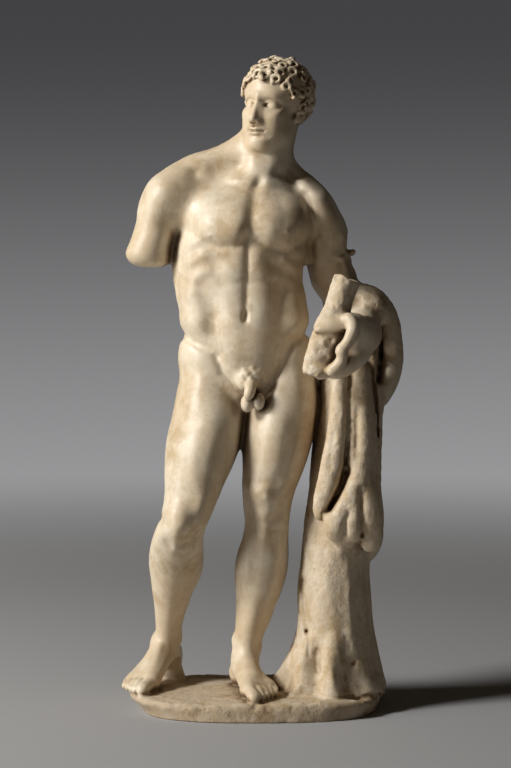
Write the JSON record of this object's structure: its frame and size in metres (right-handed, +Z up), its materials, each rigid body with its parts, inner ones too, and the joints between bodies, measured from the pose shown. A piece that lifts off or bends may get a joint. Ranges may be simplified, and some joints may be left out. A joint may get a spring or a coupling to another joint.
{
  "type": "marble statuette",
  "caption": "Carved stone statuette of a standing nude man with a cloak over one arm, leaning on a tree trunk, on an oval plinth; the other arm is broken off.",
  "frame": {"origin": "middle of the plinth's flat underside", "axes": "+Z up from the plinth to the crown of the head, -Y out of the figure's front towards the viewer, +X to the viewer's right, where the trunk stands"},
  "size_m": [0.3254, 0.2087, 0.758],
  "materials": {
    "marble": "aged cream marble, polished on the body and rougher on the cloak, trunk and plinth"
  },
  "bodies": {
    "root": {"marble_statuette": "marble"}
  },
  "joints": []
}
